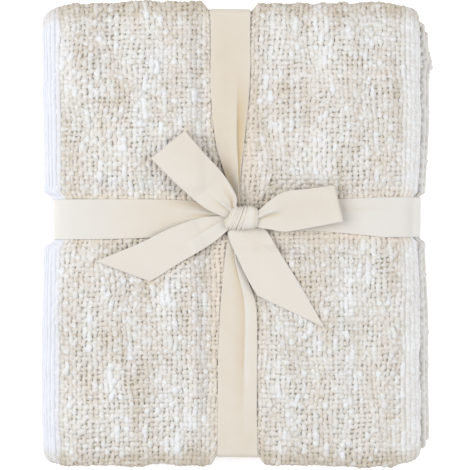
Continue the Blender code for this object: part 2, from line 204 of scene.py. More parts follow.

# The finishes' colours. The dark ones are also the colours of the painted shade.
YARN_DARK = (0.54, 0.48, 0.395, 1)
YARN_LIGHT = (0.755, 0.77, 0.78, 1)
CLOTH_DARK_AND_PAINTED_HOLE_SHADE = (0.52, 0.48, 0.36, 1)
CLOTH_LIGHT = (0.75, 0.735, 0.70, 1)
CLOTH_TINT = (0.76, 0.69, 0.60, 1)
CLOTH_PAINTED_COOL_LIGHT = (0.695, 0.722, 0.785, 1)
TAPE_DARK = (0.56, 0.44, 0.27, 1)
TAPE_LIGHT = (0.705, 0.675, 0.62, 1)
TAPE_TINT = (0.695, 0.69, 0.675, 1)
FLOOR_COLOUR = (0.95, 0.95, 0.95, 1)
SKY_COLOUR = (0.9, 0.93, 1.0, 1)

# The studio's light
FLOOR_GLOW = 0.3
SKY_POWER = 0.46
LIGHT_SIZE = 1.6
LIGHT_COLOUR = (1.0, 0.98, 0.95)
LIGHTS = (
    # name, place in metres, power
    ("left_softbox", (-1.6, 0.25, 1.6), 38.5),
    ("right_softbox", (1.6, -0.1, 1.6), 27.0),
)

# The photograph's view
VIEW_X = -1.4 * MM
VIEW_Y = -0.5 * MM
VIEW_WIDE = 446.5 * MM
VIEW_LEVEL = 45.0 * MM
VIEW_FROM = 1.7
SENSOR = 36.0


# Folding

THIRDS_START = (INNER_FLAP_Y, 0.0)
THIRDS_PATH = (
    # size, turn
    (INNER_FLAP_Y - NEAR_TURN_Y, 0),
    (NEAR_TURN_RADIUS, -1),
    (FAR_TURN_Y - NEAR_TURN_Y, 0),
    (FAR_TURN_RADIUS, -1),
    (FAR_TURN_Y - OUTER_FLAP_Y, 0),
)
BOOK_START = (BOTTOM_END_X, FIRST_LAYER)
BOOK_PATH = (
    # size, turn
    (BOTTOM_END_X - SPINE_X, 0),
    (SPINE_RADIUS, -1),
    (TOP_FOLD_X - SPINE_X, 0),
    (LOOP_RADIUS, -1),
    (TOP_FOLD_X - SPINE_X, 0),
    (LOOP_RADIUS, 1),
    (THIRD_END_X - SPINE_X, 0),
)


def run_ends(path):
    """Distances along the flat cut at which each run and turn of a fold path ends, from 0."""
    return np.cumsum([0.0] + [pi * size if turn else size for size, turn in path])


BOOK_ENDS = run_ends(BOOK_PATH)
THIRDS_ENDS = run_ends(THIRDS_PATH)
FLAT_LENGTH = float(BOOK_ENDS[-1])
FLAT_WIDTH = float(THIRDS_ENDS[-1])


def smooth(share):
    """Eases from 0 to 1 as share goes from 0 to 1."""
    share = np.clip(share, 0.0, 1.0)
    return share * share * (3 - 2 * share)


def mix(low, high, share):
    return low + (high - low) * share


def along(start, path, distance):
    """(place across, place up, heading across, heading up) at distances along a fold path."""
    place, height = start
    heading, done = -1.0, 0.0
    found = None
    for size, turn in path:
        beyond = distance - done
        if turn:
            angle = beyond / size
            here = (
                place + size * np.sin(angle) * heading,
                height + size * turn * heading * (1 - np.cos(angle)),
                heading * np.cos(angle),
                turn * heading * np.sin(angle),
            )
            height += 2 * size * turn * heading
            heading = -heading
            done += pi * size
        else:
            flat = np.ones_like(beyond)
            here = (place + beyond * heading, height * flat, heading * flat, 0 * flat)
            place += size * heading
            done += size
        if found is None:
            found = here
        else:
            found = tuple(np.where(beyond >= 0, new, old) for new, old in zip(here, found))
    return found


def fold(length_place, width_place, height):
    """The folded places of points of the flat cut, height being up from its middle."""
    y, stack_height, heading_y, heading_h = along(THIRDS_START, THIRDS_PATH, width_place)
    y = y - height * heading_h
    stack_height = stack_height + height * heading_y
    x, z, heading_x, heading_z = along(BOOK_START, BOOK_PATH, length_place)
    return x - stack_height * heading_z, y, z + stack_height * heading_x


# Settling


def cross_offset(x, y):
    """How far a point is from the middle of the tape that crosses the pack."""
    return y - CROSS_Y - CROSS_SLOPE * x


def length_offset(x, y):
    """How far a point is from the middle of the tape that runs the pack's length."""
    return x - LENGTH_X - LENGTH_SLOPE * y


def groove(offset):
    """1 under the tape, easing to 0 beside it."""
    return 1 - smooth((np.abs(offset) - GROOVE_FLAT) / (GROOVE_REACH - GROOVE_FLAT))


def pinch(offset):
    """1 under the tape, easing to 0 close beside it, where the cloth swells out again."""
    return 1 - smooth((np.abs(offset) - PINCH_FLAT) / (PINCH_REACH - PINCH_FLAT))


def top_rise(x, y):
    """How far the pack's top stands above its plain height."""
    tied = np.maximum(groove(cross_offset(x, y)), groove(length_offset(x, y)))
    crown = DOME * (1 - (x / PACK_LEFT) ** 4) * (1 - (y / PACK_FRONT) ** 4)
    rise = mix(crown, -PRESS, tied)
    rise = rise - ROLL_OFF * smooth((x - ROLL_FROM) / (ROLL_TO - ROLL_FROM))
    return rise - END_DROP * smooth((np.abs(y) - END_FROM) / (PACK_BACK - END_FROM))


def pull_in(distance, limit, amount):
    """How far a point this far out is drawn in, growing over the last stretch before the limit."""
    share = np.maximum(0.0, (distance - limit + PINCH_DEEP) / PINCH_DEEP)
    return amount * share * share


def settle(x, y, z):
    """Moves points of the plain pack to where the soft, tied pack has them."""
    share = z / PACK_HEIGHT
    crossing, lengthwise = groove(cross_offset(x, y)), groove(length_offset(x, y))
    low = np.maximum(CROSS_GROOVE * crossing, LENGTH_GROOVE * lengthwise)
    new_z = low + share * (PACK_HEIGHT + top_rise(x, y) - low)
    side_x = np.where(x > 0, 1.0, -1.0)
    side_y = np.where(y > 0, 1.0, -1.0)
    eased = EASE_RIGHT * (x > 0) * (1 - smooth(np.abs(cross_offset(x, y)) / EASE_REACH))
    pinch_x = np.maximum(eased, PINCH_CROSS * pinch(cross_offset(x, y)))
    pinch_y = PINCH_LENGTH * pinch(length_offset(x, y))
    new_x = x - side_x * pull_in(np.abs(x), -PACK_LEFT, pinch_x)
    new_y = y - side_y * pull_in(np.abs(y), PACK_BACK, pinch_y)
    corner = np.maximum(0.0, (np.abs(x) - CORNER_FROM) / (-PACK_LEFT - CORNER_FROM)) ** 2
    reach = np.abs(y / PACK_BACK) ** 3
    corner_in = np.where(side_x * side_y > 0, FULL_CORNER_IN, CORNER_IN)
    new_y = new_y - side_y * corner_in * corner * reach
    tuck = smooth((x - TUCK_FROM) / (BOTTOM_END_X - TUCK_FROM)) * (1 - share)
    new_y = new_y - side_y * np.where(y > 0, BACK_TUCK, TUCK) * tuck * reach
    open_end = smooth((x - OPEN_FROM) / OPEN_REACH) * (1 - crossing)
    lower_half = 1 - smooth((share - OPEN_HEIGHT) / OPEN_HEIGHT_REACH)
    bulge = np.exp(-(((y - BULGE_Y) / BULGE_REACH) ** 2))
    new_x = new_x + BULGE * open_end * lower_half * bulge
    new_x = new_x + WAVE * np.sin(19 * y + 0.8) * np.abs(x / PACK_LEFT) ** 3
    new_y = new_y + WAVE * np.sin(23 * x + 2.1) * reach
    return np.stack(np.broadcast_arrays(new_x, new_y, new_z), axis=-1)


def cloud(seed, length_place, width_place, length_reach, width_reach):
    """Smooth random values from -1 to 1 over the flat cloth, with lumps of about this reach."""
    rng = np.random.default_rng(seed)
    rows = int(FLAT_LENGTH / length_reach) + 5
    columns = int(FLAT_WIDTH / width_reach) + 5
    knots = rng.uniform(-1, 1, (rows, columns))
    across, up = length_place / length_reach + 2, width_place / width_reach + 2
    row, column = np.floor(across).astype(int), np.floor(up).astype(int)
    row_share, column_share = smooth(across - row), smooth(up - column)
    low = mix(knots[row, column], knots[row, column + 1], column_share)
    high = mix(knots[row + 1, column], knots[row + 1, column + 1], column_share)
    return mix(low, high, row_share)


def swell(length_place, width_place):
    """Soft unevenness over the cloth, from -1 to 1."""
    broad = cloud(3, length_place, width_place, 26 * MM, 26 * MM)
    return 0.5 * broad + 0.5 * cloud(4, length_place, width_place, 9 * MM, 13 * MM)


def settled(length_place, width_place, height):
    """Where points of the flat cut come to lie, pressed flat by the tape and by the floor."""
    x, y, _ = fold(length_place, width_place, height)
    offset = np.minimum(np.abs(cross_offset(x, y)), np.abs(length_offset(x, y)))
    covered = 1 - smooth((offset - TAPE_WIDE / 2 - 0.5 * MM) / (3 * MM))
    limit = mix(UNDER_TAPE + 3 * MM, UNDER_TAPE, covered)
    points = settle(*fold(length_place, width_place, np.minimum(height, limit)))
    points[..., 2] = np.maximum(points[..., 2], 0.0)
    return points


# Meshes


def add_piece(name, mesh, finish):
    """Makes a piece of a mesh, which rides with the pack."""
    mesh.materials.append(finish)
    item = bpy.data.objects.new(name, mesh)
    bpy.context.scene.collection.objects.link(item)
    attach(item, BODY)
    return item


def grid_mesh(name, strips, steps, sides):
    """A mesh of parallel strips cut apart from one grid, and each point's strip, step and side."""
    shape = bmesh.new()
    run = strips * steps - 1
    bmesh.ops.create_grid(shape, x_segments=run, y_segments=sides - 1, size=0.5)
    joins = [face for n, face in enumerate(shape.faces) if (n % run + 1) % steps == 0]
    bmesh.ops.delete(shape, geom=joins, context="FACES")
    mesh = bpy.data.meshes.new(name)
    shape.to_mesh(mesh)
    shape.free()
    flat = np.zeros(len(mesh.vertices) * 3, np.float32)
    mesh.vertices.foreach_get("co", flat)
    flat = flat.reshape(-1, 3) + 0.5
    place = np.rint(flat[:, 0] * run).astype(int)
    return mesh, (place // steps, place % steps, np.rint(flat[:, 1] * (sides - 1)).astype(int))


def write_attribute(mesh, name, kind, values):
    made = mesh.attributes.new(name, kind, "POINT")
    field = "vector" if kind == "FLOAT_VECTOR" else "value"
    made.data.foreach_set(field, np.asarray(values, np.float32).ravel())


def shaped_mesh(name, points, closed, **attributes):
    """A smooth mesh of strips through points, which are strips by steps by sides by 3."""
    if closed:
        points = np.concatenate([points, points[:, :, :1]], axis=2)
        attributes = {
            key: np.concatenate([values, values[:, :, :1]], axis=2)
            for key, values in attributes.items()
        }
    mesh, places = grid_mesh(name, *points.shape[:3])
    mesh.vertices.foreach_set("co", points[places].astype(np.float32).ravel())
    for key, values in attributes.items():
        kind = "FLOAT_VECTOR" if values.ndim == 4 else "FLOAT"
        write_attribute(mesh, key, kind, values[places])
    if closed:
        shape = bmesh.new()
        shape.from_mesh(mesh)
        bmesh.ops.remove_doubles(shape, verts=shape.verts, dist=1e-6)
        bmesh.ops.recalc_face_normals(shape, faces=shape.faces)
        shape.to_mesh(mesh)
        shape.free()
    mesh.shade_smooth()
    return mesh


# Shader nodes


def add_node(tree, kind, inputs=(), **settings):
    """A node with its settings, and its inputs set to a value or linked to a socket."""
    made = tree.nodes.new(kind)
    for key, value in settings.items():
        setattr(made, key, value)
    for key, value in dict(inputs).items():
        if isinstance(value, bpy.types.NodeSocket):
            tree.links.new(value, made.inputs[key])
        else:
            made.inputs[key].default_value = value
    return made


def attribute(tree, name, output="Fac"):
    return add_node(tree, "ShaderNodeAttribute", attribute_name=name).outputs[output]


def maths(tree, operation, first, second, clamp=False):
    made = add_node(
        tree, "ShaderNodeMath", {0: first, 1: second}, operation=operation, use_clamp=clamp
    )
    return made.outputs[0]


def blend(tree, share, low, high):
    """A mix of two colours."""
    made = add_node(
        tree, "ShaderNodeMix", {"Factor": share, 6: low, 7: high}, data_type="RGBA"
    )
    return made.outputs[2]


def new_group(name, inputs, outputs):
    """A shader node group with named inputs (name: type, value) and outputs (name: type)."""
    group = bpy.data.node_groups.new(name, "ShaderNodeTree")
    for key, (kind, value) in inputs.items():
        made = group.interface.new_socket(name=key, in_out="INPUT", socket_type=kind)
        made.default_value = value
    for key, kind in outputs.items():
        group.interface.new_socket(name=key, in_out="OUTPUT", socket_type=kind)
    enter = group.nodes.new("NodeGroupInput")
    leave = group.nodes.new("NodeGroupOutput")
    return group, enter.outputs, leave.inputs


def use_group(tree, group, **inputs):
    """A use of a node group in a material, with its inputs set or linked."""
    return add_node(tree, "ShaderNodeGroup", inputs, node_tree=group)


def mottle_group():
    """Mixes two colours by a cloudy pattern on the flat cloth, shifted by the piece's tone."""
    colour = "NodeSocketColor"
    number = "NodeSocketFloat"
    group, given, result = new_group(
        "Mottle",
        {
            "Dark": (colour, (0.5, 0.5, 0.5, 1)),
            "Light": (colour, (1, 1, 1, 1)),
            "Tint": (colour, (1, 1, 1, 1)),
            "Tone": (number, 0.5),
            "Hue": (number, 0.0),
            "Pale": (colour, (1, 1, 1, 1)),
            "Cool": (number, 0.0),
            "Scale": (number, 200.0),
            "Amount": (number, 0.2),
        },
        {"Color": colour},
    )
    flat = attribute(group, "flat", "Vector")
    cloud = add_node(
        group,
        "ShaderNodeTexNoise",
        {"Vector": flat, "Scale": given["Scale"], "Detail": 3.0, "Roughness": 0.6},
    )
    centred = maths(group, "SUBTRACT", cloud.outputs["Fac"], 0.5)
    swing = maths(group, "MULTIPLY", centred, given["Amount"])
    share = maths(group, "ADD", swing, given["Tone"], clamp=True)
    plain = blend(group, share, given["Dark"], given["Light"])
    tinted = blend(group, given["Hue"], plain, given["Tint"])
    cooled = blend(group, given["Cool"], tinted, given["Pale"])
    group.links.new(cooled, result["Color"])
    return group


def fibre_group():
    """The bump of fibrous thread: a fine cloud on the flat cloth."""
    number = "NodeSocketFloat"
    group, given, result = new_group(
        "FibreBump",
        {"Scale": (number, 1100.0), "Strength": (number, 0.5), "Distance": (number, 0.0005)},
        {"Normal": "NodeSocketVector"},
    )
    flat = attribute(group, "flat", "Vector")
    cloud = add_node(
        group, "ShaderNodeTexNoise", {"Vector": flat, "Scale": given["Scale"], "Detail": 4.0}
    )
    bump = add_node(
        group,
        "ShaderNodeBump",
        {
            "Strength": given["Strength"],
            "Distance": given["Distance"],
            "Height": cloud.outputs["Fac"],
        },
    )
    group.links.new(bump.outputs["Normal"], result["Normal"])
    return group


def new_material(name, roughness, sheen):
    made = bpy.data.materials.new(name)
    made.use_nodes = True
    shader = made.node_tree.nodes["Principled BSDF"]
    shader.inputs["Roughness"].default_value = roughness
    shader.inputs["Specular IOR Level"].default_value = 0.2
    shader.inputs["Sheen Weight"].default_value = sheen
    shader.inputs["Sheen Roughness"].default_value = 0.6
    return made, made.node_tree, shader


def weave_group():
    """The bump of a plain weave, seen where no separate yarns lie on the cloth."""
    number = "NodeSocketFloat"
    group, given, result = new_group(
        "WeaveBump",
        {"Pitch": (number, YARN_PITCH), "Strength": (number, 0.8), "Distance": (number, 0.001)},
        {"Normal": "NodeSocketVector"},
    )
    flat = add_node(
        group, "ShaderNodeSeparateXYZ", {"Vector": attribute(group, "flat", "Vector")}
    )
    turn = maths(group, "DIVIDE", pi, given["Pitch"])
    waves = []
    for axis in "XY":
        angle = maths(group, "MULTIPLY", flat.outputs[axis], turn)
        waves.append(maths(group, "SINE", angle, 0.0))
    over = maths(group, "GREATER_THAN", maths(group, "MULTIPLY", *waves), 0.0)
    rounds = [maths(group, "ABSOLUTE", wave, 0.0) for wave in waves]
    height = add_node(group, "ShaderNodeMix", {"Factor": over, 2: rounds[0], 3: rounds[1]})
    bump = add_node(
        group,
        "ShaderNodeBump",
        {
            "Strength": given["Strength"],
            "Distance": given["Distance"],
            "Height": height.outputs[0],
        },
    )
    group.links.new(bump.outputs["Normal"], result["Normal"])
    return group


def cloth_material(name, groups, dark, light, bump):
    """Matte slub cotton, whiter where it is thick; its tone and tints also hold painted light and
    shade.
    """
    made, tree, shader = new_material(name, 0.95, 0.1)
    colour = use_group(
        tree,
        groups["mottle"],
        Dark=dark,
        Light=light,
        Tint=CLOTH_TINT,
        Tone=attribute(tree, "tone"),
        Hue=attribute(tree, "hue"),
        Pale=CLOTH_PAINTED_COOL_LIGHT,
        Cool=attribute(tree, "cool"),
        Scale=260.0,
        Amount=0.5,
    )
    tree.links.new(colour.outputs["Color"], shader.inputs["Base Color"])
    bump = use_group(tree, groups[bump])
    tree.links.new(bump.outputs["Normal"], shader.inputs["Normal"])
    return made


def tape_material(groups):
    """Natural cotton twill: cream, with fine slanting ribs; its tone also holds painted light and
    shade.
    """
    made, tree, shader = new_material("cotton_twill", 0.8, 0.1)
    colour = use_group(
        tree,
        groups["mottle"],
        Dark=TAPE_DARK,
        Light=TAPE_LIGHT,
        Tint=TAPE_TINT,
        Tone=attribute(tree, "tone"),
        Hue=attribute(tree, "hue"),
        Scale=60.0,
        Amount=0.25,
    )
    flat = attribute(tree, "flat", "Vector")
    slant = add_node(tree, "ShaderNodeVectorRotate", {"Vector": flat, "Angle": radians(40)})
    ribs = add_node(
        tree,
        "ShaderNodeTexWave",
        {"Vector": slant.outputs[0], "Scale": 310.0, "Distortion": 0.6, "Detail": 1.0},
    )
    bump = add_node(
        tree,
        "ShaderNodeBump",
        {"Strength": 0.35, "Distance": 0.0002, "Height": ribs.outputs["Fac"]},
    )
    tree.links.new(colour.outputs["Color"], shader.inputs["Base Color"])
    tree.links.new(bump.outputs["Normal"], shader.inputs["Normal"])
    return made


def floor_material():
    """A white sweep, lit a little from within as a light table is."""
    made, _, shader = new_material("floor", 0.9, 0.0)
    shader.inputs["Base Color"].default_value = FLOOR_COLOUR
    shader.inputs["Emission Color"].default_value = (1, 1, 1, 1)
    shader.inputs["Emission Strength"].default_value = FLOOR_GLOW
    return made


# Yarns


def skin_stops(path, ends, span, out):
    """Places over a span of the flat cut, a yarn apart on the skin, which is longer at a turn."""
    stretch = [(size + out) / size if turn == -1 else 1.0 for size, turn in path]
    skin = np.concatenate([[0.0], np.cumsum(np.diff(ends) * stretch)])
    start, stop = np.interp(span, ends, skin)
    count = max(1, round((stop - start) / YARN_PITCH))
    return np.interp(np.linspace(start, stop, count + 1), skin, ends)


def drift(rng, count, places, reach):
    """A row for each yarn of smooth random values from -1 to 1, one for each place."""
    spots = places / reach + 1
    knots = rng.uniform(-1, 1, (count, int(spots.max()) + 3))
    low = spots.astype(int)
    return mix(knots[:, low], knots[:, low + 1], smooth(spots - low))


def rim_share(length_place):
    """1 beside the cloth's two ends."""
    return np.where(
        (length_place < RIM_DEEP + MM) | (length_place > FLAT_LENGTH - RIM_DEEP - MM), 1.0, 0.0
    )


def standing_out(length_place, width_place):
    """1 where the outer skin is free to swell, and 0 where it is pressed between layers."""
    spine, fold_over = BOOK_ENDS[1], BOOK_ENDS[4]
    free = smooth((length_place - spine - 8 * MM) / (14 * MM))
    free = free * (1 - smooth((length_place - fold_over + 6 * MM) / (6 * MM)))
    round_end = np.abs(along(THIRDS_START, THIRDS_PATH, width_place)[3])
    return np.maximum(np.maximum(free, round_end * 0.9), 0.75 * rim_share(length_place))


def swollen(width_place):
    """How uneven the cloth is: most where it turns over the pack's two ends."""
    return 1 + 2.2 * np.abs(along(THIRDS_START, THIRDS_PATH, width_place)[3])


def rib_share(length_place):
    """1 on the spine and over the right-hand fold, where the thick yarns touch, else 0."""
    spine, fold_over = BOOK_ENDS[2], BOOK_ENDS[3]
    left = smooth((spine - 4 * MM - length_place) / (10 * MM))
    left = left * (length_place >= SKIN_LENGTH[0])
    right = smooth((length_place - fold_over + 8 * MM) / (14 * MM))
    return np.maximum(left, right * (length_place < BOOK_ENDS[4] + 6 * MM))


def shade_share(length_place, width_place):
    """1 where the cloth faces the pack's two ends or its lowest left side, and greys."""
    y, _, _, round_end = along(THIRDS_START, THIRDS_PATH, width_place)
    near_end = 0.6 * smooth((np.abs(y) - END_SHADE_FROM) / (NEAR_TURN_RADIUS + 10 * MM))
    low = smooth((BOOK_ENDS[1] + 40 * MM - length_place) / (9 * MM))
    low = low * (length_place > BOOK_ENDS[1] - 4 * MM)
    return np.maximum(np.maximum(np.abs(round_end), near_end), 0.7 * low)


def painted_shadow_by_tape(length_place, width_place):
    """1 on the top beside the tape and the bow, easing off: painted shadow, darker and warmer."""
    x, y, z = fold(length_place, width_place, 0.0)
    nearest = np.minimum(np.abs(cross_offset(x, y)), np.abs(length_offset(x, y)))
    nearest = np.maximum(nearest - TAPE_WIDE / 2, 0.0)
    for table in (RIGHT_LOOP, LEFT_LOOP, LEFT_TAIL, RIGHT_TAIL):
        rows = curved(table, 4)
        for edge_x, edge_y in np.concatenate([rows[:, 0:2], rows[:, 2:4]]):
            nearest = np.minimum(nearest, np.hypot(x - edge_x, y - edge_y))
    return np.where(z > PACK_HEIGHT - PLY_PITCH, np.exp(-nearest / PAINTED_SHADOW_REACH), 0.0)


def yarns(name, run_stops, side_stops, first, crosswise, seed, finish):
    """Woven yarns one way: across the pack from spine to fold, or along its longer side."""
    rng = np.random.default_rng(seed)
    count, crossings = len(side_stops), len(run_stops)
    place = np.linspace(0, crossings - 1, (crossings - 1) * STEPS_PER_CROSSING + 1)
    run = np.interp(place, np.arange(crossings), run_stops)[None, :]
    close = np.gradient(side_stops)[:, None] / YARN_PITCH
    length_place, width_place = np.broadcast_arrays(run, side_stops[:, None])
    if not crosswise:
        length_place, width_place = width_place, length_place
    rib = rib_share(length_place)
    wander = CLOTH_WANDER * cloud(5, length_place, width_place, 21 * MM, 30 * MM)
    wander = wander * (0.4 if crosswise else 1.0)
    wander = wander * (1 - np.maximum(rib, rim_share(length_place)))
    wander = wander + YARN_WANDER * drift(rng, count, place, 1.5) * (1 - 0.7 * rib)
    length_place, width_place = (
        length_place + (0 if crosswise else wander * close),
        width_place + (wander * close if crosswise else 0),
    )
    slub = drift(rng, count, place, 7)
    uneven = drift(rng, count, place, 1.3)
    grain = rng.uniform(-1, 1, (count, len(place)))
    nub = smooth((drift(rng, count, place, 1.6) - 0.3) / 0.6) * (1 - rib)
    over = np.cos(pi * (place[None, :] + first + np.arange(count)[:, None]))
    over = over if crosswise else -over
    puff = CROWN_PUFF * over * (1 - rib)
    own = rng.uniform(-1, 1, (count, 1))
    streak = cloud(6, length_place, width_place, 8 * MM, 34 * MM)
    streak = 0.6 * streak + 0.4 * cloud(7, length_place, width_place, 24 * MM, 60 * MM)
    if crosswise:
        nub = 0.5 * nub
        thick = 1 + puff + 0.1 * slub + 0.32 * uneven + 0.3 * nub
        height = CRIMP * over * (1 - 0.9 * rib) - 2 * RIB_HIGH * rib - ACROSS_LOW
        half_wide, half_high = ACROSS_HALF_WIDE, ACROSS_HALF_HIGH
        tone = 0.50 + 0.05 * own + 0.08 * slub
    else:
        thick = 1 + puff + 0.12 * slub + 0.32 * uneven * (1 - 0.7 * rib) + 0.3 * nub + 0.3 * rib
        height = CRIMP * over * (1 - 0.5 * nub) * (1 - 0.9 * rib) + RIB_HIGH * rib
        half_wide, half_high = ALONG_HALF_WIDE, ALONG_HALF_HIGH
        tone = 0.58 + 0.08 * own + 0.12 * slub
    tone = tone + STREAK_TONE * streak + UNEVEN_TONE * uneven + GRAIN_TONE * grain
    white = rib * np.where(length_place > BOOK_ENDS[3] - WHITE_BEFORE, FOLD_WHITE, 1.0)
    tone = mix(tone, RIB_TONE, RIB_WHITE * white) + NUB_TONE * nub
    shade = shade_share(length_place, width_place)
    # Painted light: a bluish tint on the spine's ribs, for the cool light on the pack's left side.
    cool = PAINTED_COOL_LIGHT_SHARE * rib * (length_place < BOOK_ENDS[2]) * (1 - shade)
    # Painted light: the cloth beside its two ends, in the shaded gap beside the top fold, is
    # lighter and warmer.
    rim = rim_share(length_place)
    # Painted shadow: the cloth beside the tape and the bow is darker and warmer, where they shade
    # it.
    pressed = painted_shadow_by_tape(length_place, width_place)
    tone = tone - SHADE_DARKER * shade + RIM_PAINTED_LIGHT * rim - PAINTED_SHADOW_DARKER * pressed
    free = standing_out(length_place, width_place)
    height = height + YARN_MIDDLE - SUNK * (1 - free) + NUB_HIGH * nub
    height = height + SWELL * swell(length_place, width_place) * swollen(width_place)
    ends = np.ones_like(place)
    ends[[0, -1]], ends[[1, -2]] = 0.0, 0.75
    angles = 2 * pi * (np.arange(YARN_SIDES) + 0.5) / YARN_SIDES
    rough = 0.28 * (1 - 0.6 * rib[..., None])
    rough = 1 + rough * rng.uniform(-1, 1, (count, len(place), YARN_SIDES))
    girth = (thick * ends)[..., None] * rough
    side = half_wide * close[..., None] * girth * np.cos(angles)
    up = half_high * girth * np.sin(angles)
    length_place = length_place[..., None] + (0 if crosswise else side) + 0 * side
    width_place = width_place[..., None] + (side if crosswise else 0) + 0 * side
    hue = 0.5 + 0.3 * own + 0.5 * cloud(8, length_place, width_place, 16 * MM, 50 * MM)[..., 0]
    hue = HUE_MOST * np.clip(hue, 0, 1) * (1 - white) * (1 - nub) * (1 - shade)
    hue = np.maximum(hue, np.maximum(PAINTED_SHADOW_WARMTH * pressed, RIM_PAINTED_WARM_LIGHT * rim))
    mesh = shaped_mesh(
        name,
        settled(length_place, width_place, height[..., None] + up),
        True,
        flat=np.stack([length_place, width_place, up], axis=-1),
        tone=tone[..., None] + SPECK_TONE * rng.uniform(-1, 1, side.shape),
        hue=np.broadcast_to(hue[..., None], side.shape),
        cool=np.broadcast_to(cool[..., None], side.shape),
    )
    return add_piece(name, mesh, finish)


def woven_patch(name, length_spans, width_spans, seed, finish, parts):
    """Yarns both ways over a stretch of the flat cut, as one or more pieces each way."""
    lengths = skin_stops(BOOK_PATH, BOOK_ENDS, length_spans, PLY_PITCH + MM)
    widths = skin_stops(THIRDS_PATH, THIRDS_ENDS, width_spans, MM)
    made = []
    for n in range(parts):
        low, high = len(widths) * n // parts, len(widths) * (n + 1) // parts
        label = f"{name}_across_{n}"
        made.append(yarns(label, lengths, widths[low:high], low, True, seed + n, finish))
        low, high = len(lengths) * n // parts, len(lengths) * (n + 1) // parts
        label = f"{name}_along_{n}"
        made.append(yarns(label, widths, lengths[low:high], low, False, seed + 50 + n, finish))
    return made


def bead(name, length_place, width_place, seed, finish):
    """A rolled edge of the cut as a full round bead: one of the two places is a single number."""
    rng = np.random.default_rng(seed)
    lengthwise = np.ndim(length_place) > 0
    run = length_place if lengthwise else width_place
    place = run / YARN_PITCH
    thick = 1 + 0.1 * drift(rng, 1, place, 1.2) + 0.06 * drift(rng, 1, place, 5)
    ends = np.ones_like(place)
    ends[[0, -1]] = 0.0
    angles = np.linspace(0, 2 * pi, HEM_SIDES, endpoint=False)
    girth = (HEM_RADIUS * thick * ends)[..., None]
    side = girth * np.cos(angles)
    up = np.minimum(girth, HEM_RADIUS) * np.sin(angles)
    run = np.broadcast_to(run[None, :, None], side.shape)
    if lengthwise:
        length_place, width_place = run, width_place + side
    else:
        length_place, width_place = length_place + side, run
    mesh = shaped_mesh(
        name,
        settled(length_place, width_place, up),
        True,
        flat=np.stack([length_place, width_place, up], axis=-1),
        tone=np.broadcast_to((0.7 + 1.2 * (thick - 1))[..., None], side.shape),
        hue=np.full(side.shape, 0.3),
    )
    return add_piece(name, mesh, finish)


# The slab under the yarns


def slab_stops(path, ends, turn_steps):
    """Distances along the flat cut for the slab's rows, closer together round the turns."""
    found = [0.0]
    for (_, turn), low, high in zip(path, ends, ends[1:]):
        steps = turn_steps if turn else max(1, round((high - low) / SLAB_STEP))
        found += list(np.linspace(low, high, steps + 1)[1:])
    return np.array(found)


# Where the yarns lie on the flat cut: the first and last places along it or across it
SKIN_LENGTH = (BOOK_ENDS[1] - 2 * MM, BOOK_ENDS[4] + 4 * MM)
SKIN_WIDTH = (THIRDS_ENDS[1] - MM, THIRDS_ENDS[4] + MM)
NEAR_WIDTH = (THIRDS_ENDS[1] - MM, THIRDS_ENDS[2] + MM)
FAR_WIDTH = (THIRDS_ENDS[3] - MM, THIRDS_ENDS[4] + MM)
TOP_PLY_WIDTH = (THIRDS_ENDS[2], THIRDS_ENDS[3])
FLAP_WIDTH = (THIRDS_ENDS[4], THIRDS_ENDS[5] - MM)
BOTTOM_LENGTH = (3 * MM, BOOK_ENDS[1] - 3 * MM)
INSIDE_LENGTH = (BOOK_ENDS[4] + 5 * MM, FLAT_LENGTH - 3 * MM)
BOTTOM_RIM = (MM, RIM_DEEP)
INSIDE_RIM = (FLAT_LENGTH - RIM_DEEP, FLAT_LENGTH - MM)
PATCHES = (
    # name, place along the cut, place across it, seed, pieces each way
    ("skin", SKIN_LENGTH, SKIN_WIDTH, 11, 4),
    ("bottom_near", BOTTOM_LENGTH, NEAR_WIDTH, 21, 1),
    ("bottom_far", BOTTOM_LENGTH, FAR_WIDTH, 23, 1),
    ("inside_near", INSIDE_LENGTH, NEAR_WIDTH, 25, 1),
    ("inside_far", INSIDE_LENGTH, FAR_WIDTH, 27, 1),
    ("rim_inside", INSIDE_RIM, TOP_PLY_WIDTH, 29, 1),
    ("rim_bottom", BOTTOM_RIM, FLAP_WIDTH, 31, 1),
)


def yarn_cover(length_place, width_place):
    """1 where yarns lie over the slab."""
    found = np.zeros_like(length_place)
    for _, lengths, widths, _, _ in PATCHES:
        here = (length_place > lengths[0]) & (length_place < lengths[1])
        here = here & (width_place > widths[0]) & (width_place < widths[1])
        found = np.where(here, 1.0, found)
    return found


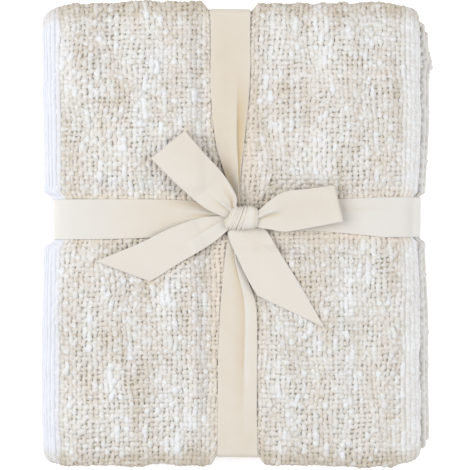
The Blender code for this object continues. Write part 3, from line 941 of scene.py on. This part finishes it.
def slab(finish):
    """The cloth under the yarns, folded whole: thin where yarns cover it, and full elsewhere."""
    lengths = slab_stops(BOOK_PATH, BOOK_ENDS, BOOK_TURN_STEPS)
    widths = slab_stops(THIRDS_PATH, THIRDS_ENDS, THIRDS_TURN_STEPS)
    shape = bmesh.new()
    rows, columns = len(lengths) - 1, len(widths) - 1
    bmesh.ops.create_grid(shape, x_segments=rows, y_segments=columns, size=0.5)
    for vert in shape.verts:
        row = round((vert.co.x + 0.5) * rows)
        column = round((vert.co.y + 0.5) * columns)
        vert.co = (lengths[row], widths[column], -CLOTH_THICK / 2)
    lifted = bmesh.ops.extrude_face_region(shape, geom=list(shape.faces), use_keep_orig=True)
    for item in lifted["geom"]:
        if isinstance(item, bmesh.types.BMVert):
            item.co.z += CLOTH_THICK
    bmesh.ops.recalc_face_normals(shape, faces=list(shape.faces))
    mesh = bpy.data.meshes.new("throw_cloth")
    shape.to_mesh(mesh)
    shape.free()
    flat = np.zeros(len(mesh.vertices) * 3, np.float32)
    mesh.vertices.foreach_get("co", flat)
    flat = flat.reshape(-1, 3).astype(float)
    length_place, width_place, side = flat.T
    covered = yarn_cover(length_place, width_place)
    before, after = length_place - SLAB_STEP / 2, length_place + SLAB_STEP / 2
    rib = covered * np.maximum(rib_share(before), rib_share(after))
    outer = mix(BARE_CLOTH, mix(UNDER_YARNS, UNDER_RIBS, rib), covered)
    free = covered * standing_out(length_place, width_place)
    outer = outer - SUNK * 0.5 * (covered - free)
    outer = outer + SWELL * free * swell(length_place, width_place) * swollen(width_place)
    points = settled(length_place, width_place, np.where(side > 0, outer, side))
    mesh.vertices.foreach_set("co", points.astype(np.float32).ravel())
    # Painted shade: the slab's top is dark under the yarns, for the shade in the weave's holes.
    tone = np.where((side > 0) & (covered > 0), rib, BARE_TONE)
    # Painted light: the same bluish tint on the spine's ribs as on their yarns.
    cool = PAINTED_COOL_LIGHT_SHARE * rib * (side > 0) * (length_place < BOOK_ENDS[2])
    write_attribute(mesh, "flat", "FLOAT_VECTOR", flat)
    write_attribute(mesh, "tone", "FLOAT", tone)
    write_attribute(mesh, "hue", "FLOAT", np.zeros(len(flat)))
    write_attribute(mesh, "cool", "FLOAT", cool)
    mesh.shade_smooth()
    mesh.set_sharp_from_angle(angle=radians(60))
    return add_piece("throw_cloth", mesh, finish)


def throw(finish, slab_finish):
    cloth = slab(slab_finish)
    pieces = []
    for name, lengths, widths, seed, parts in PATCHES:
        pieces += woven_patch(name, lengths, widths, seed, finish, parts)
    step = YARN_PITCH / STEPS_PER_CROSSING
    full_width = np.arange(0, FLAT_WIDTH, step)
    full_length = np.arange(0, FLAT_LENGTH, step)
    for edge in (
        # name, place along the cut, place across it, seed
        ("hem_bottom", 0.0, full_width, 41),
        ("hem_inside", FLAT_LENGTH, full_width, 43),
        ("selvedge_outer", full_length, FLAT_WIDTH, 45),
        ("selvedge_inner", full_length, 0.0, 47),
    ):
        pieces.append(bead(*edge, finish))
    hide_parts("throw")
    return cloth


# The tape round the pack

# Each arm of the tape on the pack's top, from where it lies flat to where it is gathered into the
# knot: the place along the arm, the tape's two edges across it, and how far it has risen.
LEFT_ARM = (
    # x, low y, high y, rise
    (-120.0, -4.4, 33.4, 0.0),
    (-78.0, -3.0, 33.2, 0.0),
    (-60.0, -1.6, 32.8, 0.0),
    (-40.0, 1.6, 31.2, 0.2),
    (-26.0, 4.6, 26.4, 0.5),
    (-4.0, 9.4, 18.6, 0.4),
)
RIGHT_ARM = (
    # x, low y, high y, rise
    (138.0, -2.6, 35.2, 0.0),
    (112.0, 0.2, 34.2, 0.0),
    (78.0, 3.0, 32.8, 0.0),
    (48.0, 4.0, 29.0, 0.2),
    (34.0, 6.0, 23.0, 0.5),
    (16.0, 9.6, 18.8, 0.4),
)
BACK_ARM = (
    # y, low x, high x, rise
    (180.0, -24.2, 13.0, 0.0),
    (138.0, -24.4, 12.4, 0.0),
    (92.0, -20.4, 7.8, 0.0),
    (72.0, -15.8, 5.4, 0.2),
    (52.0, -9.6, 3.4, 0.5),
    (22.0, -2.4, 3.6, 0.4),
)
FRONT_ARM = (
    # y, low x, high x, rise
    (-170.0, -17.6, 19.2, 0.0),
    (-120.0, -17.4, 19.4, 0.0),
    (-68.0, -15.2, 18.6, 0.0),
    (-39.0, -12.6, 9.0, 0.2),
    (-18.0, -10.4, 2.0, 0.5),
    (7.0, -5.6, 3.0, 0.4),
)

# The creases of each strip. Each is a ridge that grows towards the knot: where along the strip it
# starts and over how much of it it grows, its places across the strip at its start and at the
# knot, its height, how much lighter the tape is painted on it, and how far it spreads to its low
# and its high side. All but the height are shares. The tone is painted light on ridges and painted
# shade in valleys, folds and near the knot; creases of no height are only painted light or shade.
CREASES = {
    # start, growth, place at start, place at knot, height, painted lighter, low side, high side
    "left_arm": (
        (0.42, 0.25, 0.50, 0.62, -0.6, -0.55, 0.03, 0.06),
        (0.30, 0.40, 0.66, 0.72, 1.2, 0.10, 0.10, 0.12),
        (0.25, 0.50, 0.92, 0.90, -0.3, -0.50, 0.16, 0.20),
        (0.35, 0.50, 0.28, 0.30, 0.5, 0.00, 0.20, 0.20),
    ),
    "right_arm": (
        (-0.10, 0.20, 0.70, 0.68, -0.6, -0.14, 0.14, 0.14),
        (0.30, 0.50, 0.35, 0.35, 0.8, 0.00, 0.10, 0.25),
        (-0.20, 0.20, 0.30, 0.30, 0.0, 0.20, 0.90, 0.90),
    ),
    "back_arm": (
        (0.12, 0.30, 0.67, 0.88, 1.6, 0.05, 0.60, 0.04),
        (0.12, 0.25, 0.69, 0.90, 0.0, -0.75, 0.02, 0.55),
        (0.25, 0.40, 1.00, 1.00, 0.6, 0.30, 0.05, 0.10),
        (-0.20, 0.20, 0.40, 0.40, 0.0, -0.12, 0.90, 0.90),
        (0.50, 0.40, 0.00, 0.00, 0.0, -0.60, 0.10, 0.90),
    ),
    "front_arm": (
        (-0.05, 0.30, 0.66, 0.68, -0.4, -0.35, 0.35, 0.02),
        (-0.05, 0.30, 0.69, 0.71, 1.4, 0.30, 0.03, 0.40),
    ),
    "left_loop": (
        (0.35, 0.40, 0.97, 0.92, 2.4, 0.15, 0.10, 0.08),
        (0.42, 0.30, 0.84, 0.79, -1.6, -1.00, 0.14, 0.08),
        (0.42, 0.25, 0.46, 0.62, 2.4, 0.20, 0.05, 0.16),
        (0.42, 0.30, 0.40, 0.54, -0.5, -0.45, 0.20, 0.03),
        (-0.20, 0.20, 0.90, 0.90, 0.0, -0.14, 0.70, 0.20),
    ),
    "right_loop": (
        (0.36, 0.25, 0.42, 0.40, 3.0, 0.30, 0.35, 0.08),
        (0.37, 0.20, 0.53, 0.50, -0.9, -0.70, 0.04, 0.12),
        (-0.20, 0.20, 0.40, 0.40, 0.0, -0.14, 0.60, 0.60),
    ),
    "left_tail": (
        (0.44, 0.06, 0.38, 0.78, 1.2, 0.15, 0.50, 0.04),
        (0.44, 0.20, 0.43, 0.82, -0.4, -0.35, 0.03, 0.14),
    ),
    "right_tail": (
        (0.50, 0.40, 0.85, 0.84, 1.2, 0.20, 0.30, 0.14),
        (0.45, 0.40, 0.30, 0.28, 0.7, -0.05, 0.25, 0.25),
        (0.20, 0.40, 0.42, 0.42, 0.0, -0.16, 0.30, 0.30),
        (0.80, 0.20, 0.45, 0.45, 0.0, -0.60, 0.40, 0.40),
    ),
}


def arc(centre, radius, from_degrees, to_degrees, steps):
    """Points round an arc, both ends included, as (across, up)."""
    angles = np.radians(np.linspace(from_degrees, to_degrees, steps + 1))
    return [(centre[0] + radius * np.cos(a), centre[1] + radius * np.sin(a)) for a in angles]


def curved(table, steps):
    """A table's rows in metres, with steps between each two on a smooth curve through all."""
    rows = np.array(table) * MM
    padded = np.concatenate([rows[:1], rows, rows[-1:]])
    found = []
    for a, b, c, d in zip(padded, padded[1:], padded[2:], padded[3:]):
        for t in np.arange(steps) / steps:
            bend = 2 * a - 5 * b + 4 * c - d + t * (3 * (b - c) + d - a)
            found.append(b + 0.5 * t * (c - a + t * bend))
    return np.array(found + [rows[-1]])


SHARES = np.linspace(0, 1, TAPE_COLUMNS + 1)


def crease(strip, share_along):
    """Across one row of a strip, how far its creases rise and their painted light and shade."""
    rise, lighter = np.zeros_like(SHARES), np.zeros_like(SHARES)
    for start, growth, at_start, at_knot, height, painted_light_and_shade, low_side, high_side in CREASES[strip]:
        grown = smooth((share_along - start) / growth)
        offset = SHARES - mix(at_start, at_knot, smooth((share_along - start) / (1 - start)))
        reach = np.where(offset < 0, low_side, high_side)
        shape = grown * np.maximum(0, 1 - np.abs(offset) / reach) ** 1.3
        rise += height * MM * shape
        lighter += painted_light_and_shade * shape
    return rise, lighter


def tape_row(x, y, z, lighter=0.0):
    """A row of tape: the place of each point and how much lighter than plain tape it is painted."""
    return np.stack(np.broadcast_arrays(x, y, z, lighter), axis=-1)


def arm(strip, table, crosswise):
    """The rows of an arm on the pack's top, from its side to the knot."""
    rows = curved(table, ROW_STEPS)
    found = []
    for n, (place, low, high, rise) in enumerate(rows):
        across = mix(low, high, SHARES)
        spot = np.full_like(across, place)
        x, y = (spot, across) if crosswise else (across, spot)
        x, y, z = settle(x, y, np.full_like(across, PACK_HEIGHT + TAPE_OFF)).T
        creased, lighter = crease(strip, n / (len(rows) - 1))
        found.append(tape_row(x, y, z + rise + creased, lighter))
    return found


def side_row(place, height, centre, crosswise):
    """A row where the tape passes round the pack's side, at full width."""
    across = centre + TAPE_WIDE * (SHARES - 0.5)
    spot = np.full_like(across, place)
    x, y = (spot, across) if crosswise else (across, spot)
    return tape_row(*settle(x, y, np.full_like(across, height)).T)


def under_row(place, height, centre, crosswise):
    """A row where the tape passes under the pack, flat."""
    across = centre + TAPE_WIDE * (SHARES - 0.5)
    return tape_row(place, across, height) if crosswise else tape_row(across, place, height)


def edge_row(out, height):
    """A row round the lower edge of the bottom layer's open end, this far out from it."""
    row = side_row(BOTTOM_END_X, 0.0, CROSS_Y + CROSS_SLOPE * BOTTOM_END_X, True)
    row[:, 0] += out
    row[:, 2] = height
    return row


def flat_places(rows):
    """Places on the flat tape for its weave: across it and along it."""
    steps = np.linalg.norm(np.diff(rows, axis=0), axis=2).mean(axis=1)
    run = np.concatenate([[0.0], np.cumsum(steps)])
    across = np.broadcast_to(SHARES * TAPE_WIDE, rows.shape[:2])
    return np.stack([across, np.broadcast_to(run[:, None], across.shape), 0 * across], axis=-1)


def tape_piece(name, rows, node, finish, paler=0.0):
    """A length of tape through rows of points, standing for its solid."""
    rows = np.array(rows)
    points, lighter = rows[..., :3], rows[..., 3]
    edge = np.exp(-np.minimum(SHARES, 1 - SHARES) / EDGE_REACH)
    mesh = shaped_mesh(
        name,
        points[None],
        False,
        flat=flat_places(points)[None],
        # Painted light and shade from the creases.
        tone=np.clip(TAPE_TONE + lighter + EDGE_TONE * edge, 0, 1)[None],
        hue=np.broadcast_to(paler, lighter.shape)[None],
    )
    item = add_piece(name, mesh, finish)
    thick = item.modifiers.new("cloth", "SOLIDIFY")
    thick.thickness = TAPE_THICK
    thick.offset = 0.0
    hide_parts(node)
    return item


def tape_across(finish):
    """The tape round the pack's two sides, from the knot's left end to its right."""
    middle = PACK_HEIGHT / 2
    spine = arc((SPINE_X, middle), middle + TAPE_OFF, 90, 250, 24)
    fold_centre = (TOP_FOLD_X, PACK_HEIGHT - LOOP_RADIUS - FIRST_LAYER)
    fold_over = arc(fold_centre, LOOP_RADIUS + FIRST_LAYER + TAPE_OFF, 90, 18, 8)
    down = [
        (THIRD_END_X + TAPE_OFF + 2 * MM, 2 * LAYER_PITCH),
        (BOTTOM_END_X + TAPE_OFF + 1.5 * MM, LAYER_PITCH),
        (BOTTOM_END_X + TAPE_OFF + 1.5 * MM, LAYER_PITCH / 2),
    ]
    rows = arm("left_arm", LEFT_ARM, True)[::-1]
    rows += [side_row(x, z, CROSS_Y + CROSS_SLOPE * x, True) for x, z in spine]
    for x in np.linspace(SPINE_X, 150 * MM, 9):
        rows.append(under_row(x, CROSS_LOW, CROSS_Y + CROSS_SLOPE * x, True))
    rows.append(edge_row(0.0, CROSS_LOW))
    rows.append(edge_row(TAPE_OFF + MM, 2 * CROSS_LOW))
    rows.append(edge_row(TAPE_OFF + 1.5 * MM, 4 * CROSS_LOW))
    for x, z in reversed(fold_over + down):
        rows.append(side_row(x, z, CROSS_Y + CROSS_SLOPE * x, True))
    rows += arm("right_arm", RIGHT_ARM, True)
    # Painted light: the band is warmer near the bow and paler towards its ends, for the warm light
    # round the bow.
    paler = 0.7 * smooth((np.abs(np.array(rows)[..., 0]) - 60 * MM) / (100 * MM))
    return tape_piece("tape_band_across", rows, "tape_across", finish, paler)


def tape_along(finish):
    """The tape round the pack's two ends, from the knot's back to its front."""
    rows = arm("back_arm", BACK_ARM, False)[::-1]
    for side, angles in ((1, (90, 0, 0, -70)), (-1, (250, 180, 180, 90))):
        end = PACK_BACK - END_CORNER if side > 0 else PACK_FRONT + END_CORNER
        high, low = (end, PACK_HEIGHT - END_CORNER), (end, END_CORNER)
        first, second = (high, low) if side > 0 else (low, high)
        profile = arc(first, END_CORNER + TAPE_OFF, angles[0], angles[1], 6)
        profile += arc(second, END_CORNER + TAPE_OFF, angles[2], angles[3], 6)
        if side < 0:
            for y in np.linspace(170 * MM, -170 * MM, 9):
                rows.append(under_row(y, LENGTH_LOW, LENGTH_X + LENGTH_SLOPE * y, False))
        rows += [side_row(y, z, LENGTH_X + LENGTH_SLOPE * y, False) for y, z in profile]
    rows += arm("front_arm", FRONT_ARM, False)
    return tape_piece("tape_band_along", rows, "tape_along", finish)


# The bow

# Rows of a loop or tail from the knot outwards: the tape's two edges in plan, and how far it stands
# above what lies under it.
RIGHT_LOOP = (
    # left x, left y, right x, right y, rise
    (16.0, 21.0, 16.0, 8.6, 4.8),
    (21.6, 23.4, 21.6, 6.4, 4.4),
    (32.0, 32.6, 32.0, 4.6, 2.2),
    (46.0, 40.2, 46.0, 2.6, 0.9),
    (68.0, 43.0, 70.0, 6.4, 0.9),
    (90.4, 45.6, 98.2, 11.8, 1.6),
)
LEFT_LOOP = (
    # left x, left y, right x, right y, rise
    (-7.4, 15.0, 1.6, 22.4, 4.6),
    (-17.4, 18.6, 0.0, 27.8, 4.4),
    (-29.0, 24.4, -0.4, 36.4, 2.6),
    (-41.4, 34.0, -12.4, 56.6, 1.2),
    (-57.8, 49.0, -30.0, 76.0, 1.4),
    (-78.8, 70.0, -47.2, 96.0, 2.0),
)
LEFT_TAIL = (
    # left x, left y, right x, right y, rise
    (-1.0, 9.0, -2.6, 18.0, 3.6),
    (-7.6, 4.4, -9.4, 17.6, 3.0),
    (-21.4, -7.2, -30.0, 16.4, 1.0),
    (-37.6, -17.6, -48.0, 11.4, 0.4),
    (-53.8, -27.0, -67.2, 3.8, 0.4),
    (-74.0, -40.0, -92.0, -8.6, 0.4),
    (-81.6, -44.2, -133.4, -25.4, 0.6),
)
RIGHT_TAIL = (
    # left x, left y, right x, right y, rise
    (22.0, 10.0, -3.0, 10.0, 1.2),
    (27.6, 4.4, -8.2, 3.0, 1.2),
    (33.5, -4.4, -6.0, -6.6, 0.9),
    (42.0, -19.0, 0.2, -20.5, 0.5),
    (59.0, -46.0, 10.4, -42.0, 0.4),
    (83.4, -88.4, 19.4, -57.4, 0.6),
)


def resting(x, y):
    """The lowest height at which tape may lie over points of the pack's top."""
    cloth = PACK_HEIGHT + top_rise(x, y)
    return np.maximum(cloth + OVER_CLOTH, PACK_HEIGHT - PRESS + OVER_TAPE)


def bow_rows(strip, table):
    """Rows of a loop's lower ply or a tail, from the knot outwards."""
    rows = curved(table, ROW_STEPS)
    found = []
    near = np.array([-7 * MM, 0.0, 7 * MM])
    for n, (left_x, left_y, right_x, right_y, rise) in enumerate(rows):
        x, y = mix(left_x, right_x, SHARES), mix(left_y, right_y, SHARES)
        around = resting(x[:, None, None] + near[:, None], y[:, None, None] + near)
        highest, local = around.max(), around.max(axis=(1, 2))
        creased, lighter = crease(strip, 1 - n / (len(rows) - 1))
        z = mix(local, highest, STIFFNESS) + rise + creased
        found.append(tape_row(x, y, z, lighter))
    return found


def bow_loop(name, strip, table, node, finish):
    """A loop of the bow: out from the knot, round its end and back over itself."""
    lower = bow_rows(strip, table)
    count = len(lower) - 1
    upper = []
    for n, row in enumerate(lower):
        share = n / count
        high = mix(LOOP_ROOT_HIGH, LOOP_END_HIGH, smooth(share * 1.6))
        high += LOOP_PUFF * np.sin(pi * share) ** 2
        upper.append(row + np.array([0, 0, high, 0]))
    turn = []
    outward = lower[-1] - lower[-2]
    outward /= np.linalg.norm(outward, axis=1)[:, None]
    radius = (upper[-1] - lower[-1])[:, 2:3] / 2
    centre = (upper[-1] + lower[-1]) / 2
    for angle in np.radians(np.linspace(-75, 75, 11)):
        row = centre + outward * radius * np.cos(angle) * 0.7
        row[:, 2] += radius[:, 0] * np.sin(angle)
        turn.append(row)
    rows = lower + turn + upper[::-1]
    return tape_piece(name, rows, node, finish, LOOP_PALER)


def bow_tail(name, strip, table, node, finish):
    """A free end of the tape, lying away from the knot to its slanted cut."""
    rows = bow_rows(strip, table)
    return tape_piece(name, rows, node, finish, TAIL_PALER)


KNOT_WRAPS = (
    # place of the wrap's edge along the knot from -1 to 1, how far it leans, its step up, and how
    # far it spreads
    (-0.82, 0.16, 0.08, 0.10),
    (-0.64, 0.28, 0.10, 0.10),
    (-0.49, 0.25, 0.09, 0.08),
    (-0.34, 0.20, 0.10, 0.10),
    (-0.13, 0.14, 0.17, 0.12),
    (0.12, 0.12, 0.10, 0.25),
    (0.78, 0.00, 0.10, 0.08),
)


def bow_knot(finish):
    """The knot: tape wound round the bow's middle in overlapping wraps that lean."""
    share = np.linspace(-1, 1, KNOT_RINGS + 1)[None, :]
    angle = np.linspace(0, 2 * pi, KNOT_SIDES, endpoint=False)[:, None]
    high = np.sin(angle)
    radius = np.sqrt(np.maximum(0.0, 1 - np.abs(share) ** KNOT_BLUNT)) * np.ones_like(angle)
    relief = np.zeros(radius.shape)
    for place, lean, step, spread in KNOT_WRAPS:
        beyond = share - place - lean * high
        ridge = np.exp(-np.maximum(beyond, 0) / spread) * smooth(beyond / 0.04)
        relief = relief + step * (ridge - 0.5 * np.exp(-((beyond / 0.03) ** 2)))
    radius = radius * (0.92 + relief * (1 - share**6))
    slant = KNOT_SHEAR * (1 - share) / 2 * high
    x = KNOT_X + KNOT_HALF_LONG * (share + slant)
    y = KNOT_Y + KNOT_HALF_DEEP * radius * high
    z = KNOT_Z + KNOT_HALF_HIGH * radius * np.cos(angle)
    around = np.broadcast_to(angle * KNOT_HALF_DEEP, radius.shape)
    flat = np.stack([share * KNOT_HALF_LONG + 0 * angle, around, 0 * around], axis=-1)
    # Painted shade where the wraps dip, painted light on the wraps, and the whole knot painted
    # lighter.
    tone = np.clip(TAPE_TONE + 0.1 + 9.0 * np.minimum(relief, 0.02), 0, 1)

    def turned(values):
        return np.swapaxes(values, 0, 1)[None]

    mesh = shaped_mesh(
        "knot",
        turned(np.stack([x, y, z], axis=-1)),
        True,
        flat=turned(flat),
        tone=turned(tone),
        hue=np.zeros((1, KNOT_RINGS + 1, KNOT_SIDES)),
    )
    item = add_piece("knot", mesh, finish)
    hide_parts("bow_knot")
    return item


# The studio


def area_light(name, location, power):
    """A softbox that faces the pack."""
    lamp = bpy.data.lights.new(name, "AREA")
    lamp.shape = "SQUARE"
    lamp.size = LIGHT_SIZE
    lamp.energy = power
    lamp.color = LIGHT_COLOUR
    item = bpy.data.objects.new(name, lamp)
    item.location = location
    item.rotation_mode = "QUATERNION"
    item.rotation_quaternion = (-Vector(location)).to_track_quat("-Z", "Y")
    bpy.context.scene.collection.objects.link(item)


def studio():
    shape = bmesh.new()
    bmesh.ops.create_grid(shape, x_segments=1, y_segments=1, size=4.0)
    mesh = bpy.data.meshes.new("floor")
    shape.to_mesh(mesh)
    shape.free()
    mesh.materials.append(floor_material())
    floor = bpy.data.objects.new("floor", mesh)
    floor.location = (0, 0, -0.0002)
    bpy.context.scene.collection.objects.link(floor)
    world = bpy.data.worlds.new("studio")
    world.use_nodes = True
    background = world.node_tree.nodes["Background"]
    background.inputs["Color"].default_value = SKY_COLOUR
    background.inputs["Strength"].default_value = SKY_POWER
    bpy.context.scene.world = world
    for light in LIGHTS:
        area_light(*light)
    bpy.context.scene.view_settings.view_transform = "Standard"


def camera():
    lens = bpy.data.cameras.new("camera")
    lens.sensor_width = SENSOR
    lens.lens = SENSOR * (VIEW_FROM - VIEW_LEVEL) / VIEW_WIDE
    item = bpy.data.objects.new("camera", lens)
    item.location = (VIEW_X, VIEW_Y, VIEW_FROM)
    bpy.context.scene.collection.objects.link(item)
    bpy.context.scene.camera = item


def main():
    groups = {"mottle": mottle_group(), "fibre": fibre_group(), "weave": weave_group()}
    slub = cloth_material("slub_yarn", groups, YARN_DARK, YARN_LIGHT, "fibre")
    under = cloth_material("slub_cloth", groups, CLOTH_DARK_AND_PAINTED_HOLE_SHADE, CLOTH_LIGHT, "weave")
    twill = tape_material(groups)
    throw(slub, under)
    tape_across(twill)
    tape_along(twill)
    bow_loop("loop_left", "left_loop", LEFT_LOOP, "bow_loop_left", twill)
    bow_loop("loop_right", "right_loop", RIGHT_LOOP, "bow_loop_right", twill)
    bow_tail("tail_left", "left_tail", LEFT_TAIL, "bow_tail_left", twill)
    bow_tail("tail_right", "right_tail", RIGHT_TAIL, "bow_tail_right", twill)
    bow_knot(twill)
    studio()
    camera()


main()
